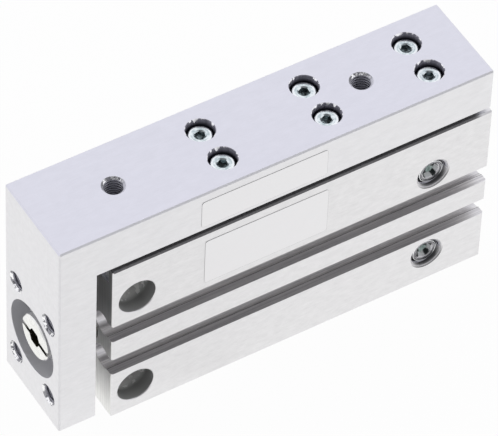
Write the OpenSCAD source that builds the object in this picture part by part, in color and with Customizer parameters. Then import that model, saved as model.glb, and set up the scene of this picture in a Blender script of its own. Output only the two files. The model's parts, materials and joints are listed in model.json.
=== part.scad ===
// Pneumatic slide table with a 6 mm bore and a 30 mm stroke.
//
// An L-shaped slide carries the load. Its arm rides over the housing on a ball-cage guide, and its
// yoke is fastened to the rod of the cylinder that is bored through the housing. The fixed half of
// the guide is a steel channel let into the housing's top, the moving half is a steel rail under
// the arm, and two strips of caged balls roll between them at half the slide's travel.
//
// +X points from the yoke to the rear end, +Y to the back, +Z up. The origin is the centre of the
// footprint. The slide is drawn retracted, and it moves towards -X by the stroke.

/* [Cylinder] */
// Travel of the slide
stroke = 30; // [20:1:60]
// Bore of the cylinder
bore_d = 6; // [5:0.1:7]
// Diameter of the piston rod
rod_d = 3; // [2.4:0.1:3.4]
// Depth of the front cap's seat, from the housing's front end
front_seat_l = 11; // [9:0.5:16]
// Depth of the rear cap's seat, from the housing's rear end
rear_seat_l = 8.8; // [6:0.2:14]
// Step from the bore to the caps' seats, on the radius
seat_step = 0.9; // [0.6:0.1:1.1]
// Free travel left at each end of the stroke
end_gap = 0.35; // [0.2:0.05:1]

/* [Piston] */
// Length of the piston's front half
piston_front_l = 5; // [4:0.2:8]
// Length of the piston's rear half
piston_rear_l = 4.6; // [4:0.2:8]
// Length of the sensing magnet
magnet_l = 3; // [2:0.2:6]
// How far the magnet stays under the bore, on the radius
magnet_gap = 0.35; // [0.2:0.05:0.6]
// Thickness of the piston's bumpers
bumper_t = 1.2; // [0.8:0.1:2.4]
// Diameter of the piston's bumpers
bumper_d = 4.4; // [3.8:0.1:4.6]
// Diameter of the rod's spigot in the piston
spigot_d = 2; // [1.4:0.1:2.2]
// Width of a piston seal
seal_w = 1.2; // [0.8:0.1:1.6]
// Depth of a piston seal's groove, from the bore
seal_depth = 0.95; // [0.6:0.05:1.1]

/* [Housing] */
// Width of the housing and of the slide
body_w = 16; // [15:0.5:24]
// Wall between the mounting counterbores and the housing's underside
base_wall = 2; // [1:0.1:6]
// Wall between the mounting counterbores and the guide's channel
web_wall = 0.9; // [0.6:0.1:4]
// Chamfer on the outer edges
edge_break = 0.25; // [0.1:0.05:0.6]

/* [Housing mounting holes] */
// Distance between the two mounting holes
mount_pitch = 20; // [19:0.5:30]
// Mounting holes from the housing's front end
mount_inset = 4.25; // [3.8:0.05:5.5]
// Diameter of the through hole
mount_hole_d = 3.3; // [2.6:0.1:3.6]
// Diameter of the counterbore at the front
mount_bore_d = 6.2; // [5:0.1:6.6]
// Depth of the counterbore
mount_bore_h = 5; // [3:0.5:6]
// Diameter of the M4 thread at the back
mount_thread_d = 4; // [3.8:0.1:5]
// Depth of that thread
mount_thread_h = 6; // [3:0.5:7]

/* [Sensor slots] */
// Width of a slot's mouth
slot_mouth = 3.3; // [2.4:0.1:3.6]
// Diameter of the round groove behind the mouth
slot_groove_d = 4.2; // [3.8:0.1:4.6]
// Depth of the groove's centre under the face
slot_depth = 2.65; // [2.3:0.05:2.8]
// Least wall between a groove and the snap rings' grooves
slot_wall = 0.2; // [0.15:0.05:1]

/* [Air ports] */
// Diameter of the ports' M5 thread
port_d = 5; // [4:0.1:5.4]
// Depth of a port's thread
port_h = 5; // [4:0.5:6]
// Chamfer of a port's mouth, on the radius
port_chamfer = 0.3; // [0.1:0.05:0.4]
// Wall between a port's mouth and the sensor slot beside it
port_wall = 0.4; // [0.2:0.1:1.5]
// Diameter of the air passages
passage_d = 2; // [1.2:0.1:2.4]
// Diameter of the plugs that close the drilled passages
passage_plug_d = 2.4; // [2.4:0.1:3]
// Length of those plugs
passage_plug_h = 1.5; // [1:0.1:2]
// How deep a blanking screw sits in its port
plug_sink = 0.5; // [0.4:0.1:1.5]
// Length of a blanking screw
plug_h = 3.4; // [2.5:0.1:3.5]
// Hexagon socket of a blanking screw, across flats
plug_hex = 2.5; // [1.5:0.1:3]
// Depth of that socket
plug_hex_h = 1.8; // [1:0.1:2.2]
// Diameter of the cone at that socket's mouth
plug_mouth_d = 3.7; // [3.5:0.1:3.9]

/* [Slide] */
// Thickness of the arm
arm_t = 7.7; // [7:0.1:12]
// Clearance between the arm and the housing
arm_gap = 1.1; // [0.5:0.1:3]
// How far the arm ends short of the housing's rear end
arm_setback = 0.4; // [0:0.1:3]
// Thickness of the yoke
yoke_t = 6.2; // [5.5:0.1:12]
// Clearance between the yoke and the housing
yoke_gap = 2.7; // [2.2:0.1:8]
// How far the yoke ends above the housing's underside
yoke_lift = 1.8; // [0.5:0.1:3.5]

/* [Slide mounting holes] */
// Diameter of the M3 threads
payload_d = 3; // [2:0.1:3.4]
// Chamfer of the threads' mouths, on the radius
payload_chamfer = 0.35; // [0.1:0.05:0.5]
// Depth of the threads in the arm
payload_h = 5.5; // [3:0.5:5.5]
// First thread in the arm, from the yoke's face
payload_inset = 13.5; // [10:0.5:16]
// How much the distance between the arm's threads exceeds the stroke
payload_extra = 12.2; // [10:0.1:14]
// Distance between the yoke's threads across the slide
yoke_pitch_y = 9.6; // [8.8:0.1:11]
// Distance between the yoke's threads up the slide
yoke_pitch_z = 15.8; // [14:0.1:22]

/* [Rod coupling] */
// Diameter of the slotted nut
nut_d = 7.5; // [6:0.1:9]
// Thickness of the slotted nut
nut_t = 2.2; // [1.6:0.1:2.6]
// How deep the nut's face lies in the yoke
nut_sink = 0.35; // [0.1:0.05:1]
// Room around the nut, on the radius
nut_room = 2.55; // [0.5:0.05:2.6]
// Width of the nut's driver slot
nut_slot_w = 0.85; // [0.3:0.05:1]
// Depth of the nut's driver slot
nut_slot_h = 0.9; // [0.3:0.05:1]
// Hexagon hole in the nut's face, across flats
nut_hex = 2.8; // [1.2:0.1:3]
// Depth of that hole
nut_hex_h = 1.1; // [0.4:0.1:1.2]
// Angle at which the nut's slot has stopped
nut_turn = 4.7; // [-30:0.1:30]
// Thickness of the washer under the nut
washer_t = 0.5; // [0.3:0.1:1]
// Diameter of that washer
washer_d = 7.4; // [6:0.1:8]
// Lock nut behind the yoke, across flats
lock_hex = 5; // [4.5:0.1:6]
// Thickness of the lock nut
lock_t = 1.6; // [1:0.1:1.8]

/* [Guide] */
// Wall of the housing on each side of the channel's seat
channel_wall = 1.2; // [1:0.1:3]
// Depth of that seat
channel_h = 3.5; // [3.2:0.1:5]
// Floor of the steel channel
channel_floor = 0.9; // [0.7:0.1:1.2]
// How far the steel channel stays under the housing's top
channel_sink = 0.2; // [0.1:0.05:0.5]
// How far the steel channel stays inside the housing's ends
channel_inset = 0.3; // [0:0.1:2]
// Side of the steel channel, beside the rail
channel_side = 1.3; // [1.1:0.1:3]
// How much longer the rail is than the stroke
rail_extra = 22.4; // [16:0.1:26]
// How far the rail ends short of the arm's end
rail_inset = 0; // [0:0.1:4]
// Depth of the rail's seat in the arm
rail_seat = 1; // [0.5:0.1:1.5]
// Clearance under the rail
rail_gap = 0.2; // [0.15:0.05:0.4]
// Gap between the rail's flank and the channel's wall
race_gap = 0.8; // [0.7:0.05:0.9]
// Diameter of the balls
ball_d = 1.2; // [1.1:0.05:1.3]
// Height of the balls' centres above the rail's underside
ball_rise = 1.05; // [0.9:0.05:1.1]
// Distance between balls
ball_pitch = 2; // [1.6:0.1:4]
// Thickness of a ball cage
cage_t = 0.5; // [0.3:0.05:0.5]
// Width of a ball cage
cage_h = 1.9; // [1.6:0.1:2]
// How far a cage stays inside the guide's loaded length at each end
cage_margin = 4.2; // [1.6:0.1:6]
// Diameter of the pins that stop the cages
stop_d = 0.6; // [0.4:0.05:0.6]

/* [Guide screws] */
// Diameter of the rail's M2 screws
screw_d = 2; // [1.6:0.1:2.2]
// Diameter of their heads
screw_head_d = 3.8; // [3:0.1:4]
// Height of their heads
screw_head_h = 2; // [1.4:0.1:2.2]
// How deep the heads lie under the arm's top
screw_sink = 1; // [0.2:0.1:1.5]
// Diameter of the counterbores
screw_bore_d = 4.5; // [4.1:0.1:5]
// Hexagon socket of the heads, across flats
screw_hex = 1.5; // [1:0.1:2]
// Depth of that socket
screw_hex_h = 1; // [0.5:0.1:1.2]
// Reach of the screws in the rail
screw_reach = 2.3; // [1.2:0.1:2.3]
// Rows of screws from the rail's flanks
screw_flank = 1.5; // [1.5:0.1:2.5]
// Screws in a row
screw_n = 3; // [2:1:4]
// First and last screws from the rail's ends
screw_inset = 8.4; // [4:0.1:10]
// Diameter of the channel's countersunk screws
low_screw_d = 1.6; // [1.2:0.1:2]
// Diameter of their heads
low_head_d = 2.9; // [2.2:0.1:3.4]
// Height of their heads' cones
low_head_h = 0.7; // [0.4:0.05:0.7]
// Length of these screws
low_screw_l = 3; // [2:0.1:3.2]
// Number of these screws
low_screw_n = 4; // [3:1:6]
// First of these screws from the housing's front end
low_screw_inset = 17; // [16:0.5:20]
// Last of these screws from the housing's rear end
low_screw_rear = 8; // [4:0.5:12]

/* [Fits] */
// Running clearance of the rod in its bush, on the radius
rod_gap = 0.02; // [0.01:0.005:0.05]
// Running clearance of the piston in the bore, on the radius
piston_gap = 0.05; // [0.03:0.01:0.08]
// Running clearance of the balls in their races, on the radius
ball_gap = 0.03; // [0.01:0.01:0.06]
// Clearance of the piston seals in the bore, on the radius
seal_gap = 0.02; // [0.01:0.005:0.05]
// Clearance of pieces that are fitted into their seats, on each side
seat_gap = 0.02; // [0.01:0.01:0.05]

/* [Hidden] */
$fn = 48;

// A cut runs this far past the face that it opens.
past = 0.5;
// Chamfer of small turned pieces
turned_break = 0.2;
// Free depth past the end of a screw
drill_room = 0.3;
// Chamfers of the counterbores and of the housing's back threads
mount_bore_break = 0.1;
screw_bore_break = 0.1;
mount_thread_break = 0.3;

// Lengths along X. The housing is as long as what the cylinder holds.
piston_l = 2 * bumper_t + piston_front_l + magnet_l + piston_rear_l;
housing_l = front_seat_l + stroke + piston_l + 2 * end_gap + rear_seat_l;
total_l = yoke_t + yoke_gap + housing_l;
yoke_x = -total_l / 2;
housing_x = yoke_x + yoke_t + yoke_gap;
rear_x = total_l / 2;
arm_end_x = rear_x - arm_setback;

// Heights
axis_z = base_wall + mount_bore_d / 2 + mount_pitch / 2;
channel_z = axis_z + mount_pitch / 2 + mount_bore_d / 2 + web_wall;
housing_h = channel_z + channel_h;
arm_z = housing_h + arm_gap;
top_z = arm_z + arm_t;
mount_zs = [axis_z - mount_pitch / 2, axis_z + mount_pitch / 2];

// Cylinder
seat_d = bore_d + 2 * seat_step;
snap_x = 0.8;
snap_w = 0.5;
snap_depth = 0.3;
snap_d = seat_d + 2 * snap_depth;
snap_band = 0.35;
snap_mouth = 1.8;
snap_eye_d = 1.1;
snap_eye_hole = 0.5;
snap_eye_in = 0.75;
snap_eye_x = seat_d / 2 - snap_eye_in;
snap_eye_y = 1.4;
front_face_x = housing_x + front_seat_l;
rear_face_x = rear_x - rear_seat_l;
piston_x = rear_face_x - end_gap - piston_l + bumper_t;
magnet_x = piston_x + piston_front_l;
piston_rear_x = magnet_x + magnet_l;
piston_end_x = piston_rear_x + piston_rear_l;
piston_d = bore_d - 2 * piston_gap;
rivet_step = 0.4;
rivet_d = spigot_d + 2 * rivet_step;
seal_play = 0.05;
seal_bevel = 0.2;
rivet_h = 0.5;

// Caps: a bush pocket, a rod seal pocket and a ring groove
cap_l = front_seat_l - snap_x - snap_w;
bush_wall = 0.6;
bush_l = 0.6 * cap_l;
bush_d = rod_d + 2 * bush_wall;
rod_seal_wall = 1.2;
rod_seal_l = 1.6;
oring_w = 1;
oring_groove_w = 1.3;
rod_seal_lip = 0.25;
rod_seal_edge = 0.15;
rod_seal_taper = 0.35;
stud_d = 2;

// Sensor slots lie as near the bore as their wall allows, and the ports lie next to the slots.
slot_y = body_w / 2 - slot_depth;
slot_reach = snap_d / 2 + slot_wall + slot_groove_d / 2;
slot_z = sqrt(slot_reach * slot_reach - slot_y * slot_y);
port_r = port_d / 2 + port_chamfer;
port_z = slot_z + slot_groove_d / 2 + port_wall + port_r;
port_zs = [axis_z - port_z, axis_z + port_z];
port_margin = 0.3;
port_x = rear_face_x - passage_d / 2 - port_margin;
drop_x = front_face_x + passage_d / 2;

// Guide. The channel, the rail and the rows of balls follow the housing's width.
channel_w = body_w - 2 * channel_wall;
race_w = channel_w - 2 * channel_side;
rail_w = race_w - 2 * race_gap;
race_z = channel_z + channel_floor;
rail_z = race_z + rail_gap;
ball_z = rail_z + ball_rise;
rail_h = arm_z + rail_seat - rail_z;
rail_l = stroke + rail_extra;
rail_x = arm_end_x - rail_inset - rail_l;
ball_y = rail_w / 2 + race_gap / 2;
race_d = ball_d + 2 * ball_gap;
rail_break = 0.15;
cage_play = 0.04;
cage_window_d = ball_d + 2 * cage_play;
cage_end_l = 0.2;
cage_x = rail_x + cage_margin;
cage_l = rail_l - stroke / 2 - 2 * cage_margin;
ball_n = floor((cage_l - ball_d - 2 * cage_end_l) / ball_pitch) + 1;
ball_x = cage_x + (cage_l - (ball_n - 1) * ball_pitch) / 2;
stop_gap = 0.3;
stop_front_x = cage_x - stroke / 2 - stop_gap - stop_d / 2;
stop_rear_x = cage_x + cage_l + stop_gap + stop_d / 2;
stop_sink = 0.4;
stop_top_z = housing_h - stop_sink;

// Screws
screw_pitch = (rail_l - 2 * screw_inset) / (screw_n - 1);
screw_xs = [for (i = [0 : screw_n - 1]) rail_x + screw_inset + i * screw_pitch];
screw_ys = [-1, 1] * (rail_w / 2 - screw_flank);
screw_bore_h = screw_sink + screw_head_h;
screw_l = arm_t - screw_bore_h - rail_seat + screw_reach;
screw_room = 0.2;
low_play = 0.1;
low_sink = 0.05;
low_hex = 0.9;
low_hex_h = 0.4;
low_span = housing_l - low_screw_inset - low_screw_rear;
low_screw_xs = [for (i = [0 : low_screw_n - 1])
    housing_x + low_screw_inset + i * low_span / (low_screw_n - 1)];

// Slide's holes
payload_xs = [yoke_x + payload_inset, yoke_x + payload_inset + stroke + payload_extra];
coupling_h = nut_sink + nut_t + washer_t;
coupling_d = nut_d + 2 * nut_room;
rod_play = 0.6;
rod_hole_d = rod_d + rod_play;
rod_center_d = 1;
rod_center_h = 0.3;
nut_x = yoke_x + nut_sink;
rod_end_x = nut_x + nut_hex_h;

// Corner points of a rectangle whose corners are cut off by c.
function broken(x0, y0, x1, y1, c) = [
    [x0 + c, y0], [x1 - c, y0], [x1, y0 + c], [x1, y1 - c],
    [x1 - c, y1], [x0 + c, y1], [x0, y1 - c], [x0, y0 + c]
];

// Stands a child that points along +Z on the bore's axis at x, pointing along +X.
module on_axis(x) translate([x, 0, axis_z]) rotate([0, 90, 0]) children();

// Extrudes a section drawn in Y and Z along X, from x0 to x1.
module along_x(x0, x1) translate([x0, 0, 0]) rotate([90, 0, 90]) linear_extrude(x1 - x0) children();

// Extrudes an outline drawn in X and Z across the body's width.
module across_y() translate([0, body_w / 2, 0]) rotate([90, 0, 0]) linear_extrude(body_w) children();

// A ring between two diameters.
module ring(h, outer_d, inner_d) difference() {
    cylinder(h = h, d = outer_d);
    translate([0, 0, -past]) cylinder(h = h + 2 * past, d = inner_d);
}

// A hole of diameter d whose mouth, at the origin, has a chamfer c. It runs down from there.
module chamfered_hole(d, h, c) {
    translate([0, 0, -h]) cylinder(h = h + past, d = d);
    translate([0, 0, -c]) cylinder(h = c, d1 = d, d2 = d + 2 * c);
    cylinder(h = past, d = d + 2 * c);
}

// A turned pin whose far edge has a chamfer c.
module turned_pin(h, d, c) rotate_extrude()
    polygon([[0, 0], [d / 2, 0], [d / 2, h - c], [d / 2 - c, h], [0, h]]);

// A hexagonal prism, af across flats.
module hex_prism(h, af) rotate(30) cylinder(h = h, d = af / cos(30), $fn = 6);

// A rubber ring of section w that fills a groove from the inner radius outwards.
module rubber_ring(outer_r, w) rotate_extrude() translate([outer_r - w / 2, 0]) circle(d = w);

// ---- Housing ----

module slot_section(z) translate([-body_w / 2, z]) {
    translate([-past, -slot_mouth / 2]) square([past + slot_depth, slot_mouth]);
    translate([slot_depth, 0]) circle(d = slot_groove_d);
}

module housing_section() difference() {
    polygon(broken(-body_w / 2, 0, body_w / 2, housing_h, edge_break));
    for (side = [-1, 1]) slot_section(axis_z + side * slot_z);
    translate([-channel_w / 2, channel_z]) square([channel_w, channel_h + past]);
}

module housing_blank() intersection() {
    along_x(housing_x, rear_x) housing_section();
    linear_extrude(housing_h) polygon(broken(housing_x, -body_w / 2, rear_x, body_w / 2, edge_break));
    across_y() polygon(broken(housing_x, 0, rear_x, housing_h, edge_break));
}

module bore_cuts() {
    on_axis(housing_x - past) cylinder(h = housing_l + 2 * past, d = bore_d);
    on_axis(housing_x - past) cylinder(h = past + front_seat_l, d = seat_d);
    on_axis(rear_face_x) cylinder(h = rear_seat_l + past, d = seat_d);
    on_axis(housing_x + snap_x) cylinder(h = snap_w, d = snap_d);
    on_axis(rear_x - snap_x - snap_w) cylinder(h = snap_w, d = snap_d);
}

module mount_cuts() for (z = mount_zs) translate([housing_x + mount_inset, 0, z]) {
    translate([0, body_w / 2 + past, 0]) rotate([90, 0, 0])
        cylinder(h = body_w + 2 * past, d = mount_hole_d);
    translate([0, -body_w / 2, 0]) rotate([90, 0, 0])
        chamfered_hole(mount_bore_d, mount_bore_h, mount_bore_break);
    translate([0, body_w / 2, 0]) rotate([-90, 0, 0])
        chamfered_hole(mount_thread_d, mount_thread_h, mount_thread_break);
}

module port_cuts() for (z = port_zs) {
    translate([port_x, -body_w / 2, z]) rotate([90, 0, 0]) chamfered_hole(port_d, port_h, port_chamfer);
    translate([port_x, 0, z]) rotate([90, 0, 0]) cylinder(h = body_w / 2 - port_h + past, d = passage_d);
    translate([rear_x, 0, z]) rotate([0, 90, 0]) chamfered_hole(port_d, port_h, port_chamfer);
}

// The upper ports feed the chamber in front of the piston and the lower ports the one behind it.
module passage_cuts() {
    translate([drop_x, 0, port_zs[1]]) rotate([0, 90, 0])
        cylinder(h = rear_x - port_h + past - drop_x, d = passage_d);
    translate([drop_x, 0, axis_z]) cylinder(h = channel_z - axis_z, d = passage_d);
    translate([drop_x, 0, channel_z - passage_plug_h])
        cylinder(h = passage_plug_h + past, d = passage_plug_d);
    translate([port_x, 0, port_zs[0]]) rotate([0, 90, 0])
        cylinder(h = rear_x - port_h + past - port_x, d = passage_d);
    translate([port_x, 0, -past]) cylinder(h = axis_z + past, d = passage_d);
    translate([port_x, 0, -past]) cylinder(h = past + passage_plug_h, d = passage_plug_d);
}

module low_screw_cuts() for (x = low_screw_xs) translate([x, 0, race_z - low_screw_l - drill_room])
    cylinder(h = low_screw_l + drill_room, d = low_screw_d);

module housing() color("gainsboro") difference() {
    housing_blank();
    bore_cuts();
    mount_cuts();
    port_cuts();
    passage_cuts();
    low_screw_cuts();
}

module passage_plugs() color("silver") {
    translate([drop_x, 0, channel_z - passage_plug_h]) cylinder(h = passage_plug_h, d = passage_plug_d);
    translate([port_x, 0, 0]) cylinder(h = passage_plug_h, d = passage_plug_d);
}

// ---- Air port screws ----

module port_plug(z) translate([port_x, -body_w / 2 + plug_sink, z]) rotate([90, 0, 0]) difference() {
    translate([0, 0, -plug_h]) turned_pin(plug_h, port_d - 2 * seat_gap, port_chamfer);
    translate([0, 0, -plug_hex_h]) hex_prism(plug_hex_h + past, plug_hex);
    translate([0, 0, -plug_mouth_d / 2])
        cylinder(h = plug_mouth_d / 2 + past, r1 = 0, r2 = plug_mouth_d / 2 + past);
}

module port_plug_upper() color("silver") port_plug(port_zs[1]);

module port_plug_lower() color("silver") port_plug(port_zs[0]);

// ---- Guide ----

module ball_tracks() for (side = [-1, 1]) translate([side * ball_y, ball_z]) circle(d = race_d);

module guide_channel() color("lightsteelblue") difference() {
    along_x(housing_x + channel_inset, rear_x - channel_inset) difference() {
        translate([-channel_w / 2 + seat_gap, channel_z])
            square([channel_w - 2 * seat_gap, channel_h - channel_sink]);
        translate([-race_w / 2, race_z]) square([race_w, channel_h]);
        ball_tracks();
    }
    for (x = low_screw_xs) translate([x, 0, race_z]) {
        translate([0, 0, -channel_floor - past])
            cylinder(h = channel_floor + 2 * past, d = low_screw_d + low_play);
        translate([0, 0, -low_head_h])
            cylinder(h = low_head_h, d1 = low_screw_d + low_play, d2 = low_head_d + low_play);
    }
    stop_pins(channel_z - past);
}

module stop_pins(z) for (x = [stop_front_x, stop_rear_x], side = [-1, 1])
    translate([x, side * ball_y, z]) cylinder(h = stop_top_z - z, d = stop_d);

module cage_stops() color("dimgray") stop_pins(channel_z);

module channel_screw() difference() {
    rotate_extrude() polygon([
        [0, -low_screw_l], [low_screw_d / 2 - seat_gap, -low_screw_l],
        [low_screw_d / 2 - seat_gap, -low_head_h], [low_head_d / 2, 0], [0, 0]
    ]);
    translate([0, 0, -low_hex_h]) hex_prism(low_hex_h + past, low_hex);
}

module channel_screws() color("darkgray") for (x = low_screw_xs)
    translate([x, 0, race_z - low_sink]) channel_screw();

module guide_rail() color("lightsteelblue") difference() {
    along_x(rail_x, rail_x + rail_l) difference() {
        translate([0, rail_z]) polygon(broken(-rail_w / 2, 0, rail_w / 2, rail_h, rail_break));
        ball_tracks();
    }
    for (x = screw_xs, y = screw_ys) translate([x, y, rail_z + rail_h - screw_reach - drill_room])
        cylinder(h = screw_reach + drill_room + past, d = screw_d);
}

module rail_screw() difference() {
    union() {
        translate([0, 0, -screw_l]) cylinder(h = screw_l + screw_head_h / 2, d = screw_d - 2 * seat_gap);
        turned_pin(screw_head_h, screw_head_d, turned_break);
    }
    translate([0, 0, screw_head_h - screw_hex_h]) hex_prism(screw_hex_h + past, screw_hex);
}

module rail_screws() color("silver") for (x = screw_xs, y = screw_ys)
    translate([x, y, top_z - screw_bore_h]) rail_screw();

// One strip of the ball cage, with a window for each ball.
module ball_cage(side) translate([cage_x, side * ball_y - cage_t / 2, ball_z - cage_h / 2]) difference() {
    cube([cage_l, cage_t, cage_h]);
    for (i = [0 : ball_n - 1]) translate([ball_x - cage_x + i * ball_pitch, cage_t + past, cage_h / 2])
        rotate([90, 0, 0]) cylinder(h = cage_t + 2 * past, d = cage_window_d);
}

module balls(side) for (i = [0 : ball_n - 1])
    translate([ball_x + i * ball_pitch, side * ball_y, ball_z]) sphere(d = ball_d);

module ball_cage_front() color("goldenrod") ball_cage(-1);

module ball_cage_rear() color("goldenrod") ball_cage(1);

module balls_front() color("silver") balls(-1);

module balls_rear() color("silver") balls(1);

// ---- Slide ----

module slide_outline() difference() {
    polygon(broken(yoke_x, yoke_lift, arm_end_x, top_z, edge_break));
    translate([yoke_x + yoke_t, 0]) square([total_l, arm_z]);
}

module slide_blank() difference() {
    intersection() {
        across_y() slide_outline();
        linear_extrude(top_z) polygon(broken(yoke_x, -body_w / 2, arm_end_x, body_w / 2, edge_break));
        along_x(yoke_x, arm_end_x) polygon(broken(-body_w / 2, yoke_lift, body_w / 2, top_z, edge_break));
    }
    for (side = [0, 1]) mirror([0, side, 0]) along_x(yoke_x + yoke_t, rear_x) arm_edge_section();
}

// What the chamfer along the arm's lower edge takes away.
module arm_edge_section() translate([body_w / 2, arm_z]) polygon([
    [-edge_break - past, -past], [past, edge_break + past], [past, -past]
]);

module coupling_cuts() {
    on_axis(yoke_x - past) cylinder(h = past + coupling_h, d = coupling_d);
    on_axis(yoke_x) cylinder(h = yoke_t + past, d = rod_hole_d);
    for (side_y = [-1, 1], side_z = [-1, 1])
        translate([yoke_x, side_y * yoke_pitch_y / 2, axis_z + side_z * yoke_pitch_z / 2])
            rotate([0, -90, 0]) chamfered_hole(payload_d, yoke_t + past, payload_chamfer);
}

module payload_cuts() for (x = payload_xs) translate([x, 0, top_z])
    chamfered_hole(payload_d, payload_h, payload_chamfer);

module rail_cuts() {
    translate([rail_x - seat_gap, -rail_w / 2 - seat_gap, arm_z - past])
        cube([rail_l + 2 * seat_gap, rail_w + 2 * seat_gap, rail_seat + past]);
    for (x = screw_xs, y = screw_ys) translate([x, y, top_z]) {
        translate([0, 0, -arm_t]) cylinder(h = arm_t + past, d = screw_d + screw_room);
        chamfered_hole(screw_bore_d, screw_bore_h, screw_bore_break);
    }
}

module slide_plate() color("whitesmoke") difference() {
    slide_blank();
    coupling_cuts();
    payload_cuts();
    rail_cuts();
}

// ---- Rod and its coupling ----

module piston_rod() color("lightgray") difference() {
    union() {
        on_axis(rod_end_x) cylinder(h = piston_x - rod_end_x, d = rod_d);
        on_axis(rod_end_x + rod_d) cylinder(h = piston_end_x - rod_end_x - rod_d, d = spigot_d);
        on_axis(piston_end_x - rivet_h) cylinder(h = rivet_h, d = rivet_d);
    }
    on_axis(rod_end_x - past) cylinder(h = past + rod_center_h, d = rod_center_d);
}

module slotted_nut() color("white") on_axis(nut_x) rotate(nut_turn) difference() {
    translate([0, 0, nut_t]) mirror([0, 0, 1]) turned_pin(nut_t, nut_d, turned_break);
    translate([0, 0, nut_hex_h]) cylinder(h = nut_t, d = rod_d);
    translate([0, 0, -past]) hex_prism(nut_hex_h + 2 * past, nut_hex);
    translate([-nut_slot_w / 2, -nut_d, -past]) cube([nut_slot_w, 2 * nut_d, past + nut_slot_h]);
}

module nut_washer() color("dimgray") on_axis(nut_x + nut_t) ring(washer_t, washer_d, rod_d + low_play);

module lock_nut() color("silver") on_axis(yoke_x + yoke_t) difference() {
    hex_prism(lock_t, lock_hex);
    translate([0, 0, -past]) cylinder(h = lock_t + 2 * past, d = rod_d);
}

// ---- Piston ----

// One half of the piston, l long, with its seal's groove centred at groove_x.
module piston_half(x, l, groove_x) on_axis(x) difference() {
    cylinder(h = l, d = piston_d);
    translate([0, 0, -past]) cylinder(h = l + 2 * past, d = spigot_d);
    translate([0, 0, groove_x - seal_w / 2 - seal_play])
        ring(seal_w + 2 * seal_play, bore_d + past, bore_d - 2 * seal_depth);
}

module piston_seal(x) on_axis(x) rotate_extrude() polygon(broken(
    bore_d / 2 - seal_depth, -seal_w / 2, bore_d / 2 - seal_gap, seal_w / 2, seal_bevel
));

module piston_front() color("goldenrod") piston_half(piston_x, piston_front_l, piston_front_l / 2);

module piston_rear() color("goldenrod") difference() {
    piston_half(piston_rear_x, piston_rear_l, piston_rear_l / 2);
    on_axis(piston_end_x - rivet_h) cylinder(h = rivet_h + past, d = rivet_d);
}

module piston_magnet() color("slategray")
    on_axis(magnet_x) ring(magnet_l, bore_d - 2 * magnet_gap, spigot_d);

module piston_seal_front() color("black") piston_seal(piston_x + piston_front_l / 2);

module piston_seal_rear() color("black") piston_seal(piston_rear_x + piston_rear_l / 2);

module bumper_front() color("black") on_axis(piston_x - bumper_t) ring(bumper_t, bumper_d, rod_d);

module bumper_rear() color("black") on_axis(piston_end_x) ring(bumper_t, bumper_d, 1);

// ---- Caps ----

// A cap's outside, l long, with a groove for its ring.
module cap_blank(l) difference() {
    cylinder(h = l, d = seat_d - 2 * seat_gap);
    translate([0, 0, l / 2 - oring_groove_w / 2]) ring(oring_groove_w, seat_d + past, seat_d - 2 * oring_w);
}

module front_cap() color("darkgray") on_axis(front_face_x - cap_l) difference() {
    cap_blank(cap_l);
    translate([0, 0, -past]) cylinder(h = cap_l + 2 * past, d = rod_d + rod_play);
    translate([0, 0, -past]) cylinder(h = past + rod_seal_l, d = rod_d + 2 * rod_seal_wall);
    translate([0, 0, cap_l - bush_l]) cylinder(h = bush_l + past, d = bush_d);
}

module rod_bush() color("peru") on_axis(front_face_x - bush_l) ring(bush_l, bush_d, rod_d + 2 * rod_gap);

module rod_seal() color("black") on_axis(front_face_x - cap_l) rotate_extrude() polygon([
    [rod_d / 2 + rod_gap, rod_seal_lip], [rod_d / 2 + rod_gap + rod_seal_lip, 0],
    [rod_d / 2 + rod_seal_wall, rod_seal_taper], [rod_d / 2 + rod_seal_wall, rod_seal_l],
    [rod_d / 2 + rod_seal_taper, rod_seal_l], [rod_d / 2 + rod_seal_taper, 2 * rod_seal_taper],
    [rod_d / 2 + rod_gap, rod_seal_lip + rod_seal_edge]
]);

module front_oring() color("black") on_axis(front_face_x - cap_l / 2) rubber_ring(seat_d / 2, oring_w);

module rear_cap() color("darkgray") on_axis(rear_face_x) difference() {
    cap_blank(rear_seat_l - snap_x - snap_w);
    translate([0, 0, rear_seat_l - snap_x - snap_w - stud_d]) cylinder(h = stud_d + past, d = stud_d);
}

module rear_oring() color("black")
    on_axis(rear_face_x + (rear_seat_l - snap_x - snap_w) / 2) rubber_ring(seat_d / 2, oring_w);

// An open spring ring with an eye at each end.
module snap_ring() difference() {
    union() {
        difference() {
            ring(snap_w, snap_d - 2 * seat_gap, seat_d - 2 * snap_band);
            translate([0, -snap_mouth / 2, -past]) cube([seat_d, snap_mouth, snap_w + 2 * past]);
        }
        for (side = [-1, 1]) translate([snap_eye_x, side * snap_eye_y, 0])
            cylinder(h = snap_w, d = snap_eye_d);
    }
    for (side = [-1, 1]) translate([snap_eye_x, side * snap_eye_y, -past])
        cylinder(h = snap_w + 2 * past, d = snap_eye_hole);
}

module front_snap_ring() color("dimgray") on_axis(housing_x + snap_x) snap_ring();

module rear_snap_ring() color("dimgray") on_axis(rear_x - snap_x - snap_w) snap_ring();

housing();
guide_channel();
channel_screws();
cage_stops();
front_cap();
rod_bush();
rod_seal();
front_oring();
front_snap_ring();
rear_cap();
rear_oring();
rear_snap_ring();
port_plug_upper();
port_plug_lower();
passage_plugs();
slide_plate();
guide_rail();
rail_screws();
piston_rod();
slotted_nut();
nut_washer();
lock_nut();
piston_front();
piston_magnet();
piston_rear();
piston_seal_front();
piston_seal_rear();
bumper_front();
bumper_rear();
ball_cage_front();
ball_cage_rear();
balls_front();
balls_rear();
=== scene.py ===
"""Looks of a slim pneumatic slide table: finishes, threads, screws, bare plates and studio."""

import json
import math

import bmesh
import bpy
from mathutils import Matrix, Vector


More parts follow.
